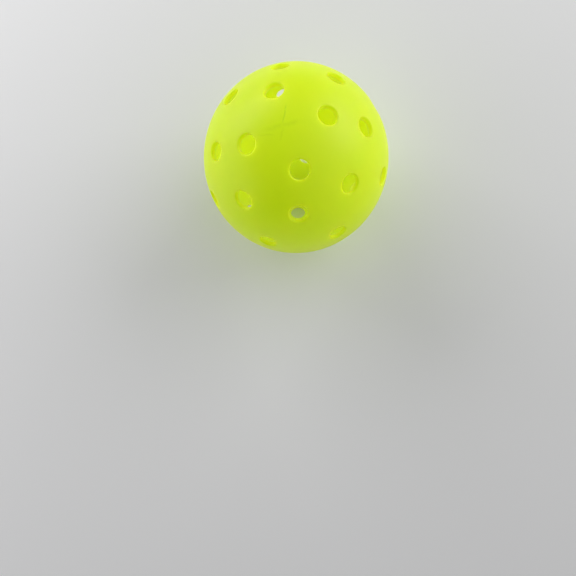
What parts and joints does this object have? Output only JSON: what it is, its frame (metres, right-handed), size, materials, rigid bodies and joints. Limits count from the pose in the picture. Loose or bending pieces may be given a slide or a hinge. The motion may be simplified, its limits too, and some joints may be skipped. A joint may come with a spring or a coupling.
{
  "type": "pickleball ball",
  "caption": "Hollow perforated plastic ball: two half bowls, drilled with rings of air holes, joined around the equator by a weld with flash inside.",
  "frame": {"origin": "the ball's centre", "axes": "+Z along the upper half's moulding axis, through the blank pole between its four innermost holes; +X lies in the plane through that axis and one of those four holes; the weld is in the XY plane"},
  "size_m": [0.0742, 0.0742, 0.0742],
  "materials": {
    "ball_plastic": "satin moulded polyethylene, optic yellow, slightly translucent",
    "weld_plastic": "the same plastic, melted and set, smooth"
  },
  "bodies": {
    "root": {"upper_half_shell": "ball_plastic", "lower_half_shell": "ball_plastic", "seam_weld_bead": "weld_plastic"}
  },
  "joints": []
}
